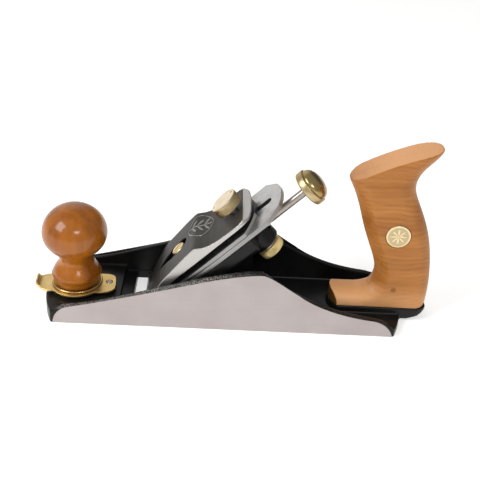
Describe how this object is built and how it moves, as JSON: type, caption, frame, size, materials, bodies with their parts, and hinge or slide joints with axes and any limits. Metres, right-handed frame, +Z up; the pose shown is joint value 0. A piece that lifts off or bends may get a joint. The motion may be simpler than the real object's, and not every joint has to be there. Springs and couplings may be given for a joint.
{
  "type": "hand plane",
  "caption": "Metal bench smoothing plane with a turned wooden front knob, brass mouth lever, lever cap, screw adjuster and wooden rear handle.",
  "frame": {"origin": "on the sole at the centre line, 55.5 mm behind the line where the iron's top face meets the sole", "axes": "+X from the toe to the heel, +Y across the sole towards the far cheek, +Z up from the sole"},
  "size_m": [0.2737, 0.0654, 0.1289],
  "materials": {
    "japanned_iron": "black japanned casting, satin with fine speckle; ground sides left bare",
    "ground_iron": "surface-ground grey iron, satin",
    "bright_steel": "turned steel, bright satin",
    "blade_steel": "ground tool steel, pale satin",
    "cap_black": "black satin paint on cast metal with bright ground edges",
    "brass": "turned and polished brass, satin",
    "knob_cherry": "glossy red-brown cherry",
    "tote_cherry": "satin light cherry, open grain"
  },
  "bodies": {
    "plane_body": {"body_casting": "japanned_iron", "lever_pivot_pin": "bright_steel", "lever_washer": "brass", "lever_cap_screw": "brass", "pivot_washer": "bright_steel", "tote": "tote_cherry", "tote_bolt": "bright_steel", "tote_barrel_nut": "brass", "tote_bolt_washer": "bright_steel", "toe_screw": "bright_steel", "toe_insert": "brass", "medallion": "brass"},
    "mouth_lever": {"mouth_lever": "brass"},
    "toe_shoe": {"mouth_shoe": "ground_iron", "knob_stud": "bright_steel"},
    "knob": {"front_knob": "knob_cherry", "knob_insert": "brass", "knob_ferrule": "brass"},
    "lever_cap": {"lever_cap": "cap_black"},
    "lock_knob": {"lock_knob": "brass", "lock_knob_screw": "bright_steel"},
    "adjuster_pivot": {"pivot_barrel": "bright_steel"},
    "pivot_nut": {"pivot_lock_nut": "brass"},
    "adjuster_screw": {"adjuster_rod": "bright_steel", "adjuster_knob": "brass", "rod_collar": "bright_steel", "rod_retainer": "bright_steel"},
    "carriage": {"adjuster_carriage": "bright_steel"},
    "blade": {"iron": "blade_steel", "cap_iron": "blade_steel", "cap_iron_screw": "brass"}
  },
  "joints": [
    {"name": "lever_swing", "type": "hinge", "parent": "plane_body", "child": "mouth_lever", "pos_m": [-0.08, 0, 0.0125], "axis": [0, 0, 1], "range_deg": [-4, 20]},
    {"name": "shoe_slide", "type": "slide", "parent": "plane_body", "child": "toe_shoe", "axis": [1, 0, 0], "range_m": [-0.00116, 0.00577]},
    {"name": "knob_turn", "type": "hinge", "parent": "toe_shoe", "child": "knob", "pos_m": [-0.1025, 0, 0.03], "axis": [0, 0, 1], "range_deg": [0, 360]},
    {"name": "cap_slide", "type": "slide", "parent": "plane_body", "child": "lever_cap", "axis": [0.7071, 0, 0.7071], "range_m": [0, 0.007]},
    {"name": "lock_knob_turn", "type": "hinge", "parent": "lever_cap", "child": "lock_knob", "pos_m": [0.01231, 0, 0.06781], "axis": [-0.7071, 0, 0.7071], "range_deg": [0, 360]},
    {"name": "adjuster_swing", "type": "hinge", "parent": "plane_body", "child": "adjuster_pivot", "pos_m": [0.01238, 0, 0.06788], "axis": [-0.7071, 0, 0.7071], "range_deg": [-3, 3]},
    {"name": "pivot_nut_turn", "type": "hinge", "parent": "adjuster_pivot", "child": "pivot_nut", "pos_m": [0.01238, 0, 0.06788], "axis": [-0.7071, 0, 0.7071], "range_deg": [0, 360]},
    {"name": "adjuster_spin", "type": "hinge", "parent": "adjuster_pivot", "child": "adjuster_screw", "pos_m": [0.02002, 0, 0.06024], "axis": [0.7071, 0, 0.7071], "range_deg": [-722, 3602]},
    {"name": "carriage_slide", "type": "slide", "parent": "adjuster_pivot", "child": "carriage", "axis": [0.7071, 0, 0.7071], "range_m": [-0.0016, 0.008]},
    {"name": "blade_swing", "type": "hinge", "parent": "carriage", "child": "blade", "pos_m": [-0.006, 0, 0.0495], "axis": [-0.7071, 0, 0.7071], "range_deg": [-4.2, 4.2]}
  ],
  "couplings": [
    {"joint": "shoe_slide", "follows": "lever_swing", "m_per_rad": 0.0165},
    {"joint": "adjuster_spin", "follows": "carriage_slide", "rad_per_m": 7854},
    {"joint": "blade_swing", "follows": "adjuster_swing", "ratio": -1.3714}
  ]
}
